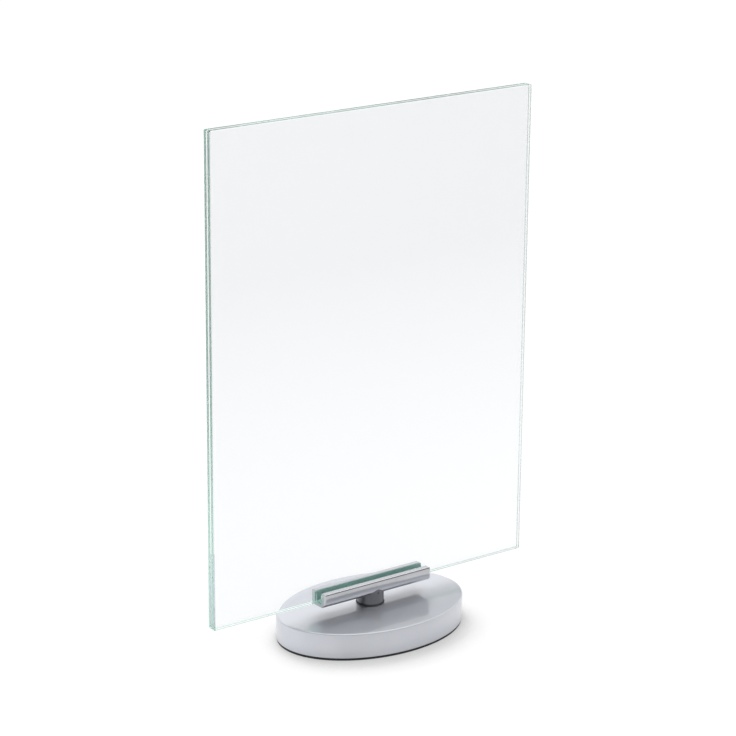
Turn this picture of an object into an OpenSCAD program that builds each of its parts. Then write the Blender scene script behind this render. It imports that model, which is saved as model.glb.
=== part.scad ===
// Tabletop glass holder: a pair of upright panes stands in a slotted bar,
// carried by a short post on a weighted oval base. Millimetres, +Z up.
// The origin is the centre of the base on the table. X runs along the panes.

/* [Glass panes] */
// Width of each pane
pane_w = 215.9; // [150:0.1:300]
// Height of each pane
pane_h = 279.4; // [200:0.1:420]
// Thickness of each pane
pane_t = 3; // [2:0.1:5]
// Gap between the panes, where a sheet slips in
sheet_gap = 0.2; // [0.1:0.05:1]
// Arris ground along the edges of both faces
pane_arris = 0.4; // [0.1:0.05:0.8]

/* [Slotted bar] */
// Length of the bar
bar_len = 75.1; // [50:0.1:140]
// Depth of the bar from front to back
bar_depth = 16; // [13:0.1:24]
// Height of the bar
bar_h = 9.1; // [7.5:0.1:16]
// Radius of the two long bottom edges
bar_bottom_r = 5.6; // [1:0.1:6.5]
// Radius of the two long top edges
bar_top_r = 0.7; // [0.2:0.05:1.5]
// Radius of the gently rounded sides, above the bottom edges
bar_side_r = 20; // [14:0.5:60]
// Chamfer round each end
bar_end_chamfer = 0.9; // [0.2:0.1:2]
// Depth of the slot below the top of the bar
slot_depth = 6.3; // [3:0.1:7]

/* [Slot liner] */
// Wall of the soft liner beside the panes
liner_t = 1.1; // [0.5:0.05:1.5]
// Wall of the liner at its top, past the lead-in
liner_lip_t = 0.4; // [0.2:0.05:0.5]
// Height of the lead-in, where the wall thins towards the top
liner_lead = 2; // [0.5:0.1:3]
// Floor of the liner under the panes
liner_floor_t = 0.5; // [0.3:0.05:1]
// Play between the liner and the panes, on each side
liner_play = 0.2; // [0.05:0.05:0.3]
// How far the liner stops short of each end of the bar
liner_setback = 0.5; // [0.2:0.1:6]

/* [Post] */
// Diameter of the post
post_d = 15.6; // [12:0.1:20]
// Height of the post from its ring to the underside of the bar
post_h = 4.7; // [3:0.1:40]
// Diameter of the spigot that enters the bar
spigot_d = 8; // [7:0.1:10]
// Diameter of the ring under the post
ring_d = 16.4; // [13:0.1:24]
// Thickness of the ring under the post
ring_t = 1; // [0.5:0.1:3]

/* [Base] */
// Length of the oval base
base_len = 117.4; // [80:0.1:180]
// Width of the oval base
base_w = 84.1; // [60:0.1:130]
// Height of the base without its foot pad
base_h = 14.5; // [12:0.1:30]
// Size of the rounded rim at the top of the base
rim_size = 0.9; // [0.3:0.1:3]
// Thickness of the foot pad
pad_t = 1.5; // [0.5:0.1:3]
// How far the foot pad stays inside the base's outline
pad_inset = 0.4; // [0:0.1:3]

/* [Fasteners] */
// Diameter of the bolt that holds the post on the base
bolt_d = 5; // [4:0.5:5.5]
// Diameter of the bolt's head
head_d = 8.5; // [7.5:0.1:10]
// Height of the bolt's head
head_h = 5; // [3:0.1:6]
// Width across flats of the socket in the bolt's head
socket_w = 4; // [2.5:0.5:5]
// Depth of the socket in the bolt's head
socket_depth = 2.6; // [1.5:0.1:2.8]
// Outer diameter of the flat washer
washer_d = 10; // [9:0.1:14]
// Thickness of the flat washer
washer_t = 1; // [0.5:0.1:2]
// Outer diameter of the spring washer
spring_d = 9.2; // [8.2:0.1:12]
// Thickness of the spring washer
spring_t = 1.2; // [0.8:0.1:2]
// Diameter of the pin that locks the spigot in the bar
pin_d = 1.5; // [1:0.1:2]

/* [Fits] */
// Radial clearance round the bolt's thread
thread_clearance = 0.1; // [0.05:0.05:0.2]
// Radial clearance round the bolt in the base, the ring and the washers
bolt_clearance = 0.25; // [0.15:0.05:0.6]
// Clearance of the spigot, of the locking pin and of the saddle on the bar
joint_clearance = 0.05; // [0.02:0.01:0.1]
// Clearance round the washers and the head in the counterbore
cbore_clearance = 0.5; // [0.2:0.1:2]
// Gap between the bolt's head and the foot pad, and past the bolt's tip
bolt_end_gap = 0.2; // [0.1:0.05:1]

/* [Hidden] */
$fn = 96;

// Metal above and below the locking pin
pin_cover = 0.2;
// Depth of the pin in the spigot, and its setback from the face of the post
pin_bite = 2.5;
pin_setback = 0.1;
// Opening of the split in the spring washer, in degrees
split_angle = 12;
// Overlap that joins solids of one piece and lets cuts break through
overlap = 1;

// Heights of the seats above the table
base_z = pad_t;
ring_z = base_z + base_h;
post_z = ring_z + ring_t;
bar_z = post_z + post_h;
bar_top_z = bar_z + bar_h;
slot_z = bar_top_z - slot_depth;
pane_z = slot_z + liner_floor_t;
pin_z = slot_z - pin_cover - pin_d / 2;
thread_top_z = pin_z - pin_d / 2 - pin_cover;

// The stack below the bolt's shank
head_z = base_z + bolt_end_gap;
spring_z = head_z + head_h;
washer_z = spring_z + spring_t;
cbore_top_z = washer_z + washer_t;
bolt_tip_z = thread_top_z - bolt_end_gap;
cbore_d = max(head_d, washer_d, spring_d) + 2 * cbore_clearance;
bolt_hole_d = bolt_d + 2 * bolt_clearance;

// The glass pack across the slot
pack_t = 2 * pane_t + sheet_gap;
liner_gap = pack_t + 2 * liner_play;
slot_w = liner_gap + 2 * liner_t;
pane_y = (pane_t + sheet_gap) / 2;

// Ends of the locking pin along Y
pin_front_y = -post_d / 2 + pin_setback;
pin_rear_y = -spigot_d / 2 + pin_bite;

// A rectangle about the origin with its corners cut off
function cut_corners(l, w, c) = [
  [-l / 2 + c, -w / 2], [l / 2 - c, -w / 2], [l / 2, -w / 2 + c], [l / 2, w / 2 - c],
  [l / 2 - c, w / 2], [-l / 2 + c, w / 2], [-l / 2, w / 2 - c], [-l / 2, -w / 2 + c]
];

// Oval prism between two heights, its ends cut flat by a slab
module oval_prism(grow, z0, z1) {
  half_len = base_len / 2 + grow;
  half_w = base_w / 2 + grow;
  intersection() {
    translate([-half_len - overlap, -half_w - overlap, z0])
      cube([2 * (half_len + overlap), 2 * (half_w + overlap), z1 - z0]);
    translate([0, 0, z0 - overlap]) linear_extrude(z1 - z0 + 2 * overlap)
      scale([1, half_w / half_len]) circle(r = half_len);
  }
}

// Oval cone round the base whose wall passes the given height at a given inset
module rim_cone(inset, z, slope) {
  r = base_len / 2 - inset;
  low_r = r + (z - base_z + overlap) * slope;
  high_r = r - (ring_z + overlap - z) * slope;
  translate([0, 0, base_z - overlap]) scale([1, base_w / base_len, 1])
    cylinder(h = base_h + 2 * overlap, r1 = low_r, r2 = high_r);
}

// Section of the bar across its length, with Z measured from its underside: each side is an arc
// that runs without a corner from the bottom edge's round to the top edge's round
module bar_section(grow = 0) {
  half = bar_depth / 2;
  low_y = half - bar_bottom_r;
  side_y = half - bar_side_r;
  rise = bar_h - bar_top_r - bar_bottom_r;
  reach = bar_side_r - bar_top_r;
  top_y = side_y + sqrt(reach * reach - rise * rise);
  side_h = rise * bar_side_r / reach;
  for (side = [-1, 1]) {
    translate([side * low_y, bar_bottom_r]) circle(r = bar_bottom_r + grow);
    translate([side * top_y, bar_h - bar_top_r]) circle(r = bar_top_r + grow);
  }
  translate([-low_y, -grow]) square([2 * low_y, bar_bottom_r + grow]);
  translate([-top_y, bar_bottom_r]) square([2 * top_y, bar_h - bar_bottom_r + grow]);
  intersection() {
    translate([side_y, bar_bottom_r]) circle(r = bar_side_r + grow);
    translate([-side_y, bar_bottom_r]) circle(r = bar_side_r + grow);
    translate([-half - overlap, bar_bottom_r]) square([2 * (half + overlap), side_h]);
  }
}

// Extrudes a section drawn in Y and Z along X, centred
module along_x(length) {
  rotate([90, 0, 90]) linear_extrude(length, center = true) children();
}

// Solid for the locking pin, or for its hole
module pin_solid(extra) {
  translate([0, pin_rear_y, pin_z]) rotate([90, 0, 0])
    cylinder(h = pin_rear_y - pin_front_y, d = pin_d + 2 * extra, $fn = 32);
}

// Round hole along Z between two heights
module bore(d, z0, z1) {
  translate([0, 0, z0]) cylinder(h = z1 - z0, d = d);
}

// Flat ring along Z
module flat_ring(outer_d, inner_d, z, t) {
  difference() {
    bore(outer_d, z, z + t);
    bore(inner_d, z - overlap, z + t + overlap);
  }
}

// Weighted oval base: straight wall, rim eased in two cuts, bolt hole and counterbore
module base() {
  color("silver") difference() {
    intersection() {
      oval_prism(0, base_z, ring_z);
      rim_cone(0, ring_z - rim_size, tan(22.5));
      rim_cone(rim_size, ring_z, 1 / tan(22.5));
    }
    bore(cbore_d, base_z - overlap, cbore_top_z);
    bore(bolt_hole_d, cbore_top_z - overlap, ring_z + overlap);
  }
}

// Soft sheet under the whole base
module foot_pad() {
  color("black") oval_prism(-pad_inset, 0, base_z);
}

// Soft ring with a round outer edge between the base and the post
module post_ring() {
  color("dimgray") translate([0, 0, ring_z]) rotate_extrude() {
    translate([bolt_hole_d / 2, 0]) square([(ring_d - ring_t - bolt_hole_d) / 2, ring_t]);
    translate([(ring_d - ring_t) / 2, ring_t / 2]) circle(d = ring_t, $fn = 48);
  }
}

// Round post, its top cut to a saddle that wraps the underside of the bar
module post() {
  color("gray") difference() {
    union() {
      difference() {
        bore(post_d, post_z, bar_z + bar_bottom_r);
        translate([0, 0, bar_z]) along_x(bar_len) bar_section(joint_clearance);
      }
      bore(spigot_d, bar_z - overlap, slot_z - joint_clearance);
    }
    bore(bolt_d + 2 * thread_clearance, post_z - overlap, thread_top_z);
    pin_solid(joint_clearance);
    translate([0, pin_front_y, pin_z]) rotate([90, 0, 0])
      cylinder(h = pin_setback + overlap, d = pin_d + 2 * joint_clearance, $fn = 32);
  }
}

// Bar with a round-edged section, chamfered ends and a slot along its top
module slot_bar() {
  plan = cut_corners(bar_len, bar_depth, bar_end_chamfer);
  elevation = cut_corners(bar_len, bar_h, bar_end_chamfer);
  color("lightgray") difference() {
    intersection() {
      translate([0, 0, bar_z]) along_x(bar_len) bar_section();
      translate([0, 0, bar_z]) linear_extrude(bar_h) polygon(plan);
      translate([0, 0, bar_z + bar_h / 2]) rotate([90, 0, 0])
        linear_extrude(bar_depth, center = true) polygon(elevation);
    }
    translate([-bar_len / 2 - overlap, -slot_w / 2, slot_z])
      cube([bar_len + 2 * overlap, slot_w, slot_depth + overlap]);
    bore(spigot_d + 2 * joint_clearance, bar_z - overlap, slot_z + overlap);
    pin_solid(joint_clearance);
  }
}

// Soft U-shaped strip that cushions the panes, its walls thinned at the top to lead the panes in
module slot_liner() {
  seat = liner_gap / 2;
  mouth = slot_w / 2 - liner_lip_t;
  lead_z = slot_depth - liner_lead;
  color("mediumaquamarine") translate([0, 0, slot_z]) along_x(bar_len - 2 * liner_setback) difference() {
    translate([-slot_w / 2, 0]) square([slot_w, slot_depth]);
    translate([-seat, liner_floor_t]) square([2 * seat, slot_depth]);
    polygon([
      [-seat, lead_z], [seat, lead_z], [mouth, slot_depth], [mouth, slot_depth + overlap],
      [-mouth, slot_depth + overlap], [-mouth, slot_depth]
    ]);
  }
}

// Small pin driven from the front through the post and the bar into the spigot
module locking_pin() {
  color("darkslategray") pin_solid(0);
}

// Socket-head bolt, up through the base and the ring into the post
module base_bolt() {
  color("slategray") difference() {
    union() {
      bore(head_d, head_z, spring_z);
      bore(bolt_d, spring_z - overlap, bolt_tip_z);
    }
    translate([0, 0, head_z - overlap])
      cylinder(h = socket_depth + overlap, d = socket_w / cos(30), $fn = 6);
  }
}

// Flat washer against the top of the counterbore
module flat_washer() {
  color("lightslategray") flat_ring(washer_d, bolt_hole_d, washer_z, washer_t);
}

// Split spring washer on the bolt's head
module spring_washer() {
  color("slategray") translate([0, 0, spring_z]) rotate([0, 0, split_angle / 2])
    rotate_extrude(angle = 360 - split_angle)
      translate([bolt_hole_d / 2, 0]) square([(spring_d - bolt_hole_d) / 2, spring_t]);
}

// One pane, with its long edges eased, standing on the floor of the liner
module pane(y) {
  translate([0, y, pane_z]) intersection() {
    linear_extrude(pane_h) polygon(cut_corners(pane_w, pane_t, pane_arris));
    translate([0, 0, pane_h / 2]) along_x(pane_w) polygon(cut_corners(pane_t, pane_h, pane_arris));
  }
}

// Pane on the side of the locking pin
module glass_pane_front() {
  color("azure", 0.4) pane(-pane_y);
}

// Pane on the far side
module glass_pane_rear() {
  color("azure", 0.4) pane(pane_y);
}

base();
foot_pad();
post_ring();
post();
slot_bar();
slot_liner();
locking_pin();
base_bolt();
flat_washer();
spring_washer();
glass_pane_front();
glass_pane_rear();
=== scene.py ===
import math

import bmesh
import bpy
from mathutils import Matrix, Vector


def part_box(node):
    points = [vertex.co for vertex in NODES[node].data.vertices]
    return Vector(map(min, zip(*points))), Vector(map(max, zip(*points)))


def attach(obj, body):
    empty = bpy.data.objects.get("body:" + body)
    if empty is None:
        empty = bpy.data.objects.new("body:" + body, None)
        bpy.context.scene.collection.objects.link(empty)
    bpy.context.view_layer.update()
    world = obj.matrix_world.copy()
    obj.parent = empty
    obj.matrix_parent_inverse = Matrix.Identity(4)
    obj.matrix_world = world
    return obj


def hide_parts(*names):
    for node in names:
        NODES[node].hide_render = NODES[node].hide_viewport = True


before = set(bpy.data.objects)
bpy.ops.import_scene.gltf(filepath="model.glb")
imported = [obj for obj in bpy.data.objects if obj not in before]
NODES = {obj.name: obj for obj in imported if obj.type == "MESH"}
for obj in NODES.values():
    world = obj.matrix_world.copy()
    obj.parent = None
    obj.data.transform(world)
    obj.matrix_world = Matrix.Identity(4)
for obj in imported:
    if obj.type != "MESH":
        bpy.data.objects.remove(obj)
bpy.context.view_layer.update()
MM = 0.001

# Camera, solved from the corners of the panes and the oval foot, in the photograph's 736 pixel frame
PHOTO_SIZE = 736
FOCAL_PIXELS = 2636
SENSOR_MM = 36
CAMERA_AZIMUTH = -36.52
CAMERA_ELEVATION = 17.59
CAMERA_ROLL = 0.49
CAMERA_DISTANCE = 1.465
CAMERA_TARGET = Vector((-2.9, 0, 156.5)) * MM
CAMERA_CLIP_START = 0.05
CAMERA_CLIP_END = 50

# Base and pad: rounded edges, the hole through the base, and rings of points on its flat faces
RIM_RADIUS = 0.9 * MM
FOOT_RADIUS = 0.3 * MM
PAD_TOP_RADIUS = FOOT_RADIUS / 2
BOLT_HOLE_RADIUS = 2.75 * MM
COUNTERBORE_CLEARANCE = 0.5 * MM
RIM_INSET = 1.1 * RIM_RADIUS
FOOT_INSET = 2 * FOOT_RADIUS
TOP_RING_SHARES = (0.7, 0.4)
OVAL_STEPS = 192
ROUND_STEPS = 8
SMOOTH_ANGLE = 35

# Panes: the arris along each edge
ARRIS = 0.4 * MM
# Liner: play beside the panes, its wall at the top and the height over which it thins
LINER_PLAY = 0.2 * MM
LINER_LIP = 0.4 * MM
LINER_LEAD = 2.0 * MM
# Free space round the liner and under the panes, where their faces meet
SEAT_GAP = 0.03 * MM

# Glass: the tint of its faces, the hue and density of its body, its roughness on faces and ground edges, and
# the part of the normal along X or Z that tells a ground edge
GLASS_IOR = 1.52
GLASS_TINT = (0.992, 0.993, 1.0)
GLASS_HUE = (0.58, 0.88, 0.79)
GLASS_DENSITY = 4.8
FACE_ROUGHNESS = (0.0, 0.006)
EDGE_ROUGHNESS = (0.24, 0.3)
EDGE_NORMAL = 0.99

# Polished metal, by its normal: painted shade below, also rougher there, painted shade along the upper
# rounds, a painted highlight on top, and painted reflections on the cut ends
PAINTED_UNDERSIDE_SHADE = (0.06, 0.06, 0.065)
DULL_ROUGHNESS = 0.6
PAINTED_UNDERSIDE_NORMAL_Z = (-0.95, -0.8)
PLAIN_SHADE = (1, 1, 1)
ROUND_PAINTED_SHADE = (0.42, 0.42, 0.42)
TOP_PAINTED_HIGHLIGHT = (1.21, 1.21, 1.21)
PAINTED_LIGHT_BY_NORMAL_Z = ((0.12, PLAIN_SHADE), (0.22, ROUND_PAINTED_SHADE), (0.75, ROUND_PAINTED_SHADE), (0.88, TOP_PAINTED_HIGHLIGHT))
PAINTED_LIGHT_END_NORMAL_X = (0.2, 0.4)
CUT_END_NORMAL_X = (0.85, 0.95)
CLOUD_GAIN = 0.04
POST_SHADE = (0.225, 0.228, 0.244)
POST_METAL = {
    "shade": POST_SHADE,
    "end_painted_reflection": POST_SHADE,
    "marks_stretch": (1, 1, 0.05),
    "roughness": (0.3, 0.44),
}
BAR_METAL = {
    "shade": (0.54, 0.545, 0.57),
    # The bar's cut ends take a darker teal as a painted reflection and shade
    "end_painted_reflection": (0.45, 0.53, 0.52),
    "marks_stretch": (0.03, 1, 1),
    "roughness": (0.1, 0.16),
}

# Other materials: the two shades between which each varies, and its range of roughness
SILVER_PAINT = {"dark": (0.69, 0.71, 0.765), "pale": (0.74, 0.76, 0.815), "roughness": (0.48, 0.55)}
PAD_RUBBER = {"dark": (0.012, 0.012, 0.013), "pale": (0.022, 0.022, 0.023), "roughness": (0.57, 0.73)}
RING_RUBBER = {"dark": (0.02, 0.02, 0.021), "pale": (0.035, 0.035, 0.036), "roughness": (0.37, 0.53)}
# Liner: colour painted lighter than the plastic really is, as painted light against the shade in the slot
LIGHTENED_LINER_PLASTIC = {"dark": (0.57, 0.97, 0.87), "pale": (0.62, 0.99, 0.9), "roughness": (0.3, 0.45)}
DARK_STEEL = {"dark": (0.12, 0.12, 0.125), "pale": (0.2, 0.2, 0.21), "roughness": (0.27, 0.45)}
ZINC_STEEL = {"dark": (0.52, 0.53, 0.54), "pale": (0.64, 0.65, 0.66), "roughness": (0.22, 0.4)}

# Floor: what it sends out by itself and by reflection, and its shadow where the object stands, real in its
# diffuse part and painted near the object in its glow
FLOOR_SIZE = 12.0
FLOOR_ALBEDO = 0.8
FLOOR_SEEN_ALBEDO = 0.3
FLOOR_GLOW = 0.77
CONTACT_REACH = 25 * MM
CONTACT_LEVEL = 0.52
CONTACT_START = 0.5
CONTACT_END = 0.8
CONTACT_SHADOW_TILT = (0.15, 0.5, 0.85)
CONTACT_SAMPLES = 8
# Reflections of the studio: the floor's fade towards the front, the dark side in front and the bright top
MIRRORED_DEPTH = 0.5
GUIDED_DEPTH = 4.5
FRONT_FADE_START = 0.0
FRONT_FADE_END = -0.65
FRONT_FADE_LEVEL = 0.12
GUIDED_FADE_END = -0.25
DARK_SIDE_TURN = -32
DARK_SIDE_RISE = -1.1
DARK_SIDE_START = -0.7
DARK_SIDE_END = -0.4
DARK_SIDE_LEVEL = 0.45
OVERHEAD_START = 0.6
OVERHEAD_END = 0.9
OVERHEAD_GAIN = 0.52
# Bounces that light needs to be guided through a pane from edge to edge
GUIDED_BOUNCES = 160

# Where the values of a noise mostly lie
NOISE_LOW = 0.3
NOISE_HIGH = 0.7
# Blender's Mix node: the places of its two inputs and its output for each kind of value
MIX_SOCKETS = {"FLOAT": (2, 3, 0), "RGBA": (6, 7, 2)}


# Shader nodes

class Nodes:
    """Adds nodes to a material's or the world's tree. A value is plain or another node's output."""

    def __init__(self, tree):
        self.tree = tree

    def add(self, kind, **settings):
        node = self.tree.nodes.new("ShaderNode" + kind)
        for key, value in settings.items():
            setattr(node, key, value)
        return node

    def feed(self, socket, value):
        """Gives a socket its value."""
        if isinstance(value, bpy.types.NodeSocket):
            self.tree.links.new(value, socket)
        else:
            socket.default_value = value

    def compute(self, operation, first, second=0.0):
        node = self.add("Math", operation=operation)
        self.feed(node.inputs[0], first)
        self.feed(node.inputs[1], second)
        return node.outputs[0]

    def axes(self, vector):
        """The parts of a vector, by the names X, Y and Z."""
        node = self.add("SeparateXYZ")
        self.feed(node.inputs[0], vector)
        return node.outputs

    def normal(self):
        """The parts of the surface's normal."""
        return self.axes(self.add("NewGeometry").outputs["Normal"])

    def pattern(self, scale, stretch=(1, 1, 1), detail=4.0):
        """Noise over the object's own coordinates, in metres, drawn out along an axis by a small factor."""
        place = self.add("TexCoord")
        mapping = self.add("Mapping")
        noise = self.add("TexNoise")
        self.feed(mapping.inputs["Scale"], stretch)
        self.feed(mapping.inputs["Vector"], place.outputs["Object"])
        self.feed(noise.inputs["Scale"], scale)
        self.feed(noise.inputs["Detail"], detail)
        self.feed(noise.inputs["Vector"], mapping.outputs["Vector"])
        return noise.outputs["Fac"]

    def spread(self, source, low, high, start=NOISE_LOW, end=NOISE_HIGH):
        """Maps numbers from start to end to numbers from low to high."""
        node = self.add("MapRange")
        self.feed(node.inputs["Value"], source)
        self.feed(node.inputs["From Min"], start)
        self.feed(node.inputs["From Max"], end)
        self.feed(node.inputs["To Min"], low)
        self.feed(node.inputs["To Max"], high)
        return node.outputs["Result"]

    def ramp(self, source, first, second, *others):
        """Maps numbers to colours by stops in rising order, each a number and its colour."""
        node = self.add("ValToRGB")
        elements = node.color_ramp.elements
        for element, (position, colour) in zip(elements, (first, second)):
            element.position = position
            element.color = (*colour, 1)
        for position, colour in others:
            elements.new(position).color = (*colour, 1)
        self.feed(node.inputs["Fac"], source)
        return node.outputs["Color"]

    def tint(self, source, dark, pale):
        """Maps a pattern to a mix of two colours."""
        return self.ramp(source, (NOISE_LOW, dark), (NOISE_HIGH, pale))

    def mix(self, kind, factor, first, second, **settings):
        """Mixes two values of one kind."""
        node = self.add("Mix", data_type=kind, **settings)
        low, high, result = MIX_SOCKETS[kind]
        self.feed(node.inputs["Factor"], factor)
        self.feed(node.inputs[low], first)
        self.feed(node.inputs[high], second)
        return node.outputs[result]

    def principled(self, **values):
        """A Principled shader with the given sockets set by name, spaces written as underscores."""
        shader = self.add("BsdfPrincipled")
        for key, value in values.items():
            self.feed(shader.inputs[key.replace("_", " ")], value)
        return shader


class MaterialNodes(Nodes):
    """The nodes of a new, empty material, with its output."""

    def __init__(self, name):
        self.material = bpy.data.materials.new(name)
        self.material.use_nodes = True
        super().__init__(self.material.node_tree)
        self.tree.nodes.clear()
        self.output = self.add("OutputMaterial").inputs

    def surface(self, shader, colour, roughness, grain, height, strength):
        """Puts a shader on the surface with its colour, its roughness and a grain, its height in metres."""
        bump = self.add("Bump")
        self.feed(bump.inputs["Strength"], strength)
        self.feed(bump.inputs["Distance"], height)
        self.feed(bump.inputs["Height"], grain)
        self.feed(shader.inputs["Base Color"], colour)
        self.feed(shader.inputs["Roughness"], roughness)
        self.feed(shader.inputs["Normal"], bump.outputs["Normal"])
        self.feed(self.output["Surface"], shader.outputs[0])
        return self.material


# Materials

def silver_paint(name, dark, pale, roughness):
    """Metallic paint under a clear coat."""
    nodes = MaterialNodes(name)
    shader = nodes.principled(Metallic=1.0, Coat_Weight=1.0, Coat_IOR=1.7, Coat_Roughness=0.06)
    flakes = nodes.pattern(scale=4000, detail=2)
    clouds = nodes.pattern(scale=60)
    colour = nodes.tint(flakes, dark, pale)
    return nodes.surface(
        shader, colour, nodes.spread(clouds, *roughness), flakes, height=0.0005 * MM, strength=0.4
    )


def polished_metal(name, shade, end_painted_reflection, marks_stretch, roughness):
    """Polished metal with fine marks drawn out along one direction, with painted light by the way that it
    faces: painted shade underneath, painted shade along the upper rounds, a painted highlight on top and a
    painted reflection on the cut ends.
    """
    nodes = MaterialNodes(name)
    shader = nodes.principled(Specular_IOR_Level=0.2)
    marks = nodes.pattern(scale=3000, stretch=marks_stretch)
    clouds = nodes.pattern(scale=120)
    normal = nodes.normal()
    endways = nodes.compute("ABSOLUTE", normal["X"])
    # Painted shade underneath: dark, rough and not metallic where the normal points down
    underside_shade = nodes.spread(normal["Z"], 1.0, 0.0, *PAINTED_UNDERSIDE_NORMAL_Z)
    # Share of the painted shade on the upper rounds and the painted highlight on top, fading out towards the
    # cut ends
    painted_light_share = nodes.spread(endways, 1.0, 0.0, *PAINTED_LIGHT_END_NORMAL_X)
    cut_end = nodes.spread(endways, 0.0, 1.0, *CUT_END_NORMAL_X)

    colour = nodes.tint(clouds, shade, [part + CLOUD_GAIN for part in shade])
    # Painted shade along the upper rounds and a painted highlight on top, by the normal's Z
    painted_light = nodes.ramp(normal["Z"], *PAINTED_LIGHT_BY_NORMAL_Z)
    colour = nodes.mix("RGBA", painted_light_share, colour, painted_light, blend_type="MULTIPLY")
    # Painted reflection and shade on the cut ends
    colour = nodes.mix("RGBA", cut_end, colour, (*end_painted_reflection, 1))
    colour = nodes.mix("RGBA", underside_shade, colour, (*PAINTED_UNDERSIDE_SHADE, 1))
    polish = nodes.mix("FLOAT", underside_shade, nodes.spread(marks, *roughness), DULL_ROUGHNESS)
    nodes.feed(shader.inputs["Metallic"], nodes.compute("SUBTRACT", 1.0, underside_shade))
    return nodes.surface(shader, colour, polish, marks, height=0.001 * MM, strength=0.3)


def dull_rubber(name, dark, pale, roughness):
    """Rubber with a fine grain."""
    nodes = MaterialNodes(name)
    shader = nodes.principled(IOR=1.5)
    grain = nodes.pattern(scale=2500)
    colour = nodes.tint(nodes.pattern(scale=150), dark, pale)
    return nodes.surface(
        shader, colour, nodes.spread(grain, *roughness), grain, height=0.03 * MM, strength=0.5
    )


def fastener_steel(name, dark, pale, roughness):
    """Bare steel with fine upright marks."""
    nodes = MaterialNodes(name)
    shader = nodes.principled(Metallic=1.0)
    marks = nodes.pattern(scale=1500, stretch=(1, 1, 0.2))
    colour = nodes.tint(marks, dark, pale)
    return nodes.surface(
        shader, colour, nodes.spread(marks, *roughness), marks, height=0.01 * MM, strength=0.4
    )


def soft_plastic(name, dark, pale, roughness):
    """Soft plastic with a fine grain."""
    nodes = MaterialNodes(name)
    shader = nodes.principled(IOR=1.46)
    grain = nodes.pattern(scale=900)
    colour = nodes.tint(grain, dark, pale)
    return nodes.surface(
        shader, colour, nodes.spread(grain, *roughness), grain, height=0.02 * MM, strength=0.3
    )


def clear_glass(name):
    """Float glass, clear but for its ground upright and top edges, and green over a long path. All faces of
    a pane share it, so light that enters by one face and leaves by another has passed one body of glass."""
    nodes = MaterialNodes(name)
    shader = nodes.principled(IOR=GLASS_IOR, Transmission_Weight=1.0, Base_Color=(*GLASS_TINT, 1))
    normal = nodes.normal()
    edgeways = nodes.compute("MAXIMUM", nodes.compute("ABSOLUTE", normal["X"]), normal["Z"])
    ground = nodes.compute("GREATER_THAN", edgeways, EDGE_NORMAL)
    smears = nodes.pattern(scale=25)
    clear = nodes.spread(smears, *FACE_ROUGHNESS)
    frosted = nodes.spread(smears, *EDGE_ROUGHNESS)
    nodes.feed(shader.inputs["Roughness"], nodes.mix("FLOAT", ground, clear, frosted))
    nodes.feed(nodes.output["Surface"], shader.outputs[0])
    body = nodes.add("VolumeAbsorption")
    nodes.feed(body.inputs["Color"], (*GLASS_HUE, 1))
    nodes.feed(body.inputs["Density"], GLASS_DENSITY)
    nodes.feed(nodes.output["Volume"], body.outputs[0])
    return nodes.material


# Meshes

def new_object(name, bm, material):
    """Turns a bmesh into an object of the scene."""
    mesh = bpy.data.meshes.new(name)
    bm.to_mesh(mesh)
    bm.free()
    mesh.materials.append(material)
    piece = bpy.data.objects.new(name, mesh)
    bpy.context.scene.collection.objects.link(piece)
    return piece


def new_piece(name, bm, material, body, node):
    """Turns a bmesh into a piece that stands for a CAD node."""
    bmesh.ops.recalc_face_normals(bm, faces=bm.faces)
    piece = new_object(name, bm, material)
    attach(piece, body)
    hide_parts(node)
    return piece


def smooth_by_angle(piece):
    piece.data.polygons.foreach_set("use_smooth", [True] * len(piece.data.polygons))
    piece.data.set_sharp_from_angle(angle=math.radians(SMOOTH_ANGLE))


def quarter_round(radius):
    """Inset and drop of points along a quarter round, from the wall to the flat."""
    for i in range(ROUND_STEPS + 1):
        turn = math.pi / 2 * i / ROUND_STEPS
        yield radius * (1 - math.cos(turn)), radius * (1 - math.sin(turn))


def loft(rings, capped):
    """A bmesh of rings joined by quads. Both ends get a face, or the last ring joins the first."""
    bm = bmesh.new()
    loops = [[bm.verts.new(point) for point in ring] for ring in rings]
    followers = loops[1:] if capped else loops[1:] + loops[:1]
    for lower, upper in zip(loops, followers):
        for i in range(len(lower)):
            j = (i + 1) % len(lower)
            bm.faces.new((lower[i], lower[j], upper[j], upper[i]))
    if capped:
        bm.faces.new(loops[0])
        bm.faces.new(loops[-1])
    return bm


def oval(z, half_x, half_y):
    turns = [2 * math.pi * i / OVAL_STEPS for i in range(OVAL_STEPS)]
    return [(half_x * math.cos(turn), half_y * math.sin(turn), z) for turn in turns]


def rounded_wall(low, high, low_radius, high_radius):
    """Ovals up the wall of a box's oval, with its lower and upper edge rounded."""
    rings = []
    for inset, drop in reversed(list(quarter_round(low_radius))):
        rings.append(oval(low.z + drop, high.x - inset, high.y - inset))
    for inset, drop in quarter_round(high_radius):
        rings.append(oval(high.z - drop, high.x - inset, high.y - inset))
    return rings


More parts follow.
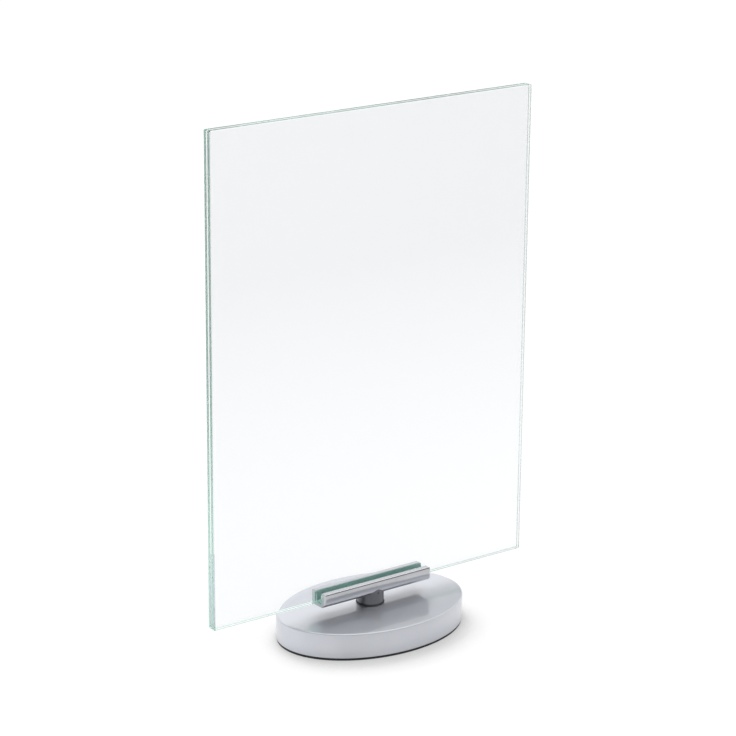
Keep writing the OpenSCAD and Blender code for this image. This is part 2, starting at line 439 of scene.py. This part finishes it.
def base_casting(material):
    """Oval casting with a rounded rim, a bolt hole and a counterbore."""
    low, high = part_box("base")
    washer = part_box("flat_washer")[1]
    bore = washer.x + COUNTERBORE_CLEARANCE
    rings = [oval(low.z, bore, bore), oval(low.z, high.x - FOOT_INSET, high.y - FOOT_INSET)]
    rings += rounded_wall(low, high, FOOT_RADIUS, RIM_RADIUS)
    rings.append(oval(high.z, high.x - RIM_INSET, high.y - RIM_INSET))
    for share in TOP_RING_SHARES:
        rings.append(oval(high.z, high.x * share, high.y * share))
    rings.append(oval(high.z, BOLT_HOLE_RADIUS, BOLT_HOLE_RADIUS))
    rings.append(oval(washer.z, BOLT_HOLE_RADIUS, BOLT_HOLE_RADIUS))
    rings.append(oval(washer.z, bore, bore))
    bm = loft(rings, capped=False)
    smooth_by_angle(new_piece("base_casting", bm, material, "stand", "base"))


def foot_sheet(material):
    """Rubber sheet under the base, its edges slightly rounded."""
    low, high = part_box("foot_pad")
    bm = loft(rounded_wall(low, high, FOOT_RADIUS, PAD_TOP_RADIUS), capped=True)
    smooth_by_angle(new_piece("foot_sheet", bm, material, "stand", "foot_pad"))


def slot_gasket(material):
    """U-shaped strip in the slot, its walls thinned towards rounded lips."""
    low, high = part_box("slot_liner")
    panes_low, panes_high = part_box("glass_pane_rear")
    half_y = high.y - SEAT_GAP
    top_z = high.z - SEAT_GAP
    seat_y = panes_high.y + LINER_PLAY
    seat_z = panes_low.z - SEAT_GAP
    radius = LINER_LIP / 2
    turns = [math.pi * i / ROUND_STEPS for i in range(ROUND_STEPS + 1)]
    lip = [(half_y - radius * (1 + math.cos(turn)), top_z - radius * (1 - math.sin(turn))) for turn in turns]
    right = [(seat_y, seat_z), (seat_y, high.z - LINER_LEAD)] + lip + [(half_y, low.z + SEAT_GAP)]
    section = right + [(-y, z) for y, z in reversed(right)]
    bm = loft([[(x, y, z) for y, z in section] for x in (-high.x, high.x)], capped=True)
    smooth_by_angle(new_piece("slot_gasket", bm, material, "stand", "slot_liner"))


def glass_pane(side, material):
    """One pane with a flat arris along each edge."""
    node = "glass_pane_" + side
    low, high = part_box(node)
    low.z += SEAT_GAP
    size = high - low
    middle = (low + high) / 2
    bm = bmesh.new()
    bmesh.ops.create_cube(bm, size=1.0, matrix=Matrix.Translation(middle) @ Matrix.Diagonal((*size, 1)))
    bmesh.ops.bevel(bm, geom=bm.edges[:], offset=ARRIS, segments=1, affect="EDGES", offset_type="OFFSET")
    new_piece("pane_" + side, bm, material, side + "_pane", node)


def dress(node, material):
    """Gives a CAD node one material."""
    NODES[node].data.materials.clear()
    NODES[node].data.materials.append(material)


def build():
    glass = clear_glass("clear_glass")
    for side in ("front", "rear"):
        glass_pane(side, glass)
    base_casting(silver_paint("silver_paint", **SILVER_PAINT))
    foot_sheet(dull_rubber("black_rubber", **PAD_RUBBER))
    dress("post_ring", dull_rubber("ring_rubber", **RING_RUBBER))
    dress("post", polished_metal("post_metal", **POST_METAL))
    dress("slot_bar", polished_metal("bar_metal", **BAR_METAL))
    slot_gasket(soft_plastic("green_liner", **LIGHTENED_LINER_PLASTIC))
    dark = fastener_steel("dark_steel", **DARK_STEEL)
    zinc = fastener_steel("zinc_steel", **ZINC_STEEL)
    for node in ("locking_pin", "base_bolt"):
        dress(node, dark)
    for node in ("flat_washer", "spring_washer"):
        dress(node, zinc)


# Stage

def floor_material():
    """White floor that shows as white to the eye, in metal and through glass, with the object's shadow: real
    shade from its diffuse part and a painted shadow, from ambient occlusion, in its glow.
    Where metal and glass mirror it, it darkens towards the front, and sooner for light guided in a pane."""
    nodes = MaterialNodes("floor")
    path = nodes.add("LightPath").outputs
    depth = nodes.axes(nodes.add("TexCoord").outputs["Object"])["Y"]
    mirrored = nodes.compute("GREATER_THAN", path["Glossy Depth"], MIRRORED_DEPTH)
    mirrored_loss = nodes.spread(depth, 1.0 - FRONT_FADE_LEVEL, 0.0, FRONT_FADE_END, FRONT_FADE_START)
    guided = nodes.compute("GREATER_THAN", path["Glossy Depth"], GUIDED_DEPTH)
    guided_loss = nodes.spread(depth, 1.0, 0.0, GUIDED_FADE_END, FRONT_FADE_START)
    loss = nodes.compute(
        "MAXIMUM",
        nodes.compute("MULTIPLY", mirrored, mirrored_loss),
        nodes.compute("MULTIPLY", guided, guided_loss),
    )
    share = nodes.compute("SUBTRACT", 1.0, loss)

    def white_surface(albedo):
        level = nodes.compute("MULTIPLY", share, albedo)
        white = nodes.add("CombineColor")
        for socket in white.inputs:
            nodes.feed(socket, level)
        surface = nodes.add("BsdfDiffuse")
        nodes.feed(surface.inputs["Color"], white.outputs[0])
        return surface.outputs[0]

    towards = nodes.add("CombineXYZ")
    for socket, part in zip(towards.inputs, CONTACT_SHADOW_TILT):
        nodes.feed(socket, part)
    # Painted shadow: ambient occlusion near the object darkens the floor's glow, its hemisphere tilted back
    # so that more of the shadow falls in front
    near = nodes.add("AmbientOcclusion", samples=CONTACT_SAMPLES)
    nodes.feed(near.inputs["Distance"], CONTACT_REACH)
    nodes.feed(near.inputs["Normal"], towards.outputs[0])
    painted_shadow_share = nodes.spread(near.outputs["AO"], CONTACT_LEVEL, 1.0, CONTACT_START, CONTACT_END)
    shadowed_glow = nodes.compute("MULTIPLY", painted_shadow_share, FLOOR_GLOW)
    glow = nodes.add("Emission")
    nodes.feed(glow.inputs["Strength"], nodes.compute("MULTIPLY", shadowed_glow, share))
    shown = nodes.add("AddShader")
    nodes.feed(shown.inputs[0], white_surface(FLOOR_SEEN_ALBEDO))
    nodes.feed(shown.inputs[1], glow.outputs[0])

    seen = 0.0
    for ray in ("Camera", "Transmission", "Glossy"):
        seen = nodes.compute("MAXIMUM", seen, path["Is " + ray + " Ray"])
    either = nodes.add("MixShader")
    nodes.feed(either.inputs["Fac"], seen)
    nodes.feed(either.inputs[1], white_surface(FLOOR_ALBEDO))
    nodes.feed(either.inputs[2], shown.outputs[0])
    nodes.feed(nodes.output["Surface"], either.outputs[0])
    return nodes.material


def stage():
    """Flat floor under the object."""
    bm = bmesh.new()
    bmesh.ops.create_grid(bm, x_segments=1, y_segments=1, size=FLOOR_SIZE / 2)
    new_object("floor", bm, floor_material())


def light():
    """White light from all sides. What metal and glass mirror is darker in front and brighter overhead."""
    world = bpy.data.worlds.new("studio")
    world.use_nodes = True
    world.cycles.sampling_method = "NONE"
    nodes = Nodes(world.node_tree)
    path = nodes.add("LightPath").outputs
    direction = nodes.add("TexCoord").outputs["Generated"]
    turn = math.radians(DARK_SIDE_TURN)
    forward = nodes.add("VectorMath", operation="DOT_PRODUCT")
    nodes.feed(forward.inputs[0], direction)
    nodes.feed(forward.inputs[1], (math.sin(turn), -math.cos(turn), DARK_SIDE_RISE))
    dark = nodes.spread(
        forward.outputs["Value"], 0.0, 1.0 - DARK_SIDE_LEVEL, DARK_SIDE_START, DARK_SIDE_END
    )
    gain = nodes.spread(nodes.axes(direction)["Z"], 0.0, OVERHEAD_GAIN, OVERHEAD_START, OVERHEAD_END)
    mirrored = nodes.compute("GREATER_THAN", path["Glossy Depth"], MIRRORED_DEPTH)
    mirrored = nodes.compute("GREATER_THAN", mirrored, path["Is Diffuse Ray"])
    change = nodes.compute("MULTIPLY", nodes.compute("SUBTRACT", gain, dark), mirrored)
    background = world.node_tree.nodes["Background"]
    nodes.feed(background.inputs["Color"], (1, 1, 1, 1))
    nodes.feed(background.inputs["Strength"], nodes.compute("ADD", 1.0, change))
    bpy.context.scene.world = world


def camera():
    """Camera at the photograph's place."""
    azimuth = math.radians(CAMERA_AZIMUTH)
    elevation = math.radians(CAMERA_ELEVATION)
    roll = math.radians(CAMERA_ROLL)
    back = Vector((
        math.sin(azimuth) * math.cos(elevation),
        -math.cos(azimuth) * math.cos(elevation),
        math.sin(elevation),
    ))
    right = Vector((0, 0, 1)).cross(back).normalized()
    up = back.cross(right)
    tilted_right = right * math.cos(roll) + up * math.sin(roll)
    tilted_up = up * math.cos(roll) - right * math.sin(roll)
    data = bpy.data.cameras.new("camera")
    data.sensor_width = SENSOR_MM
    data.lens = FOCAL_PIXELS / PHOTO_SIZE * SENSOR_MM
    data.clip_start = CAMERA_CLIP_START
    data.clip_end = CAMERA_CLIP_END
    eye = bpy.data.objects.new("camera", data)
    turn = Matrix((tilted_right, tilted_up, back)).transposed().to_4x4()
    eye.matrix_world = Matrix.Translation(CAMERA_TARGET + back * CAMERA_DISTANCE) @ turn
    bpy.context.scene.collection.objects.link(eye)
    bpy.context.scene.camera = eye


build()
stage()
light()
camera()

scene = bpy.context.scene
scene.view_settings.view_transform = "Standard"
scene.cycles.max_bounces = GUIDED_BOUNCES
scene.cycles.glossy_bounces = GUIDED_BOUNCES
scene.cycles.transmission_bounces = GUIDED_BOUNCES
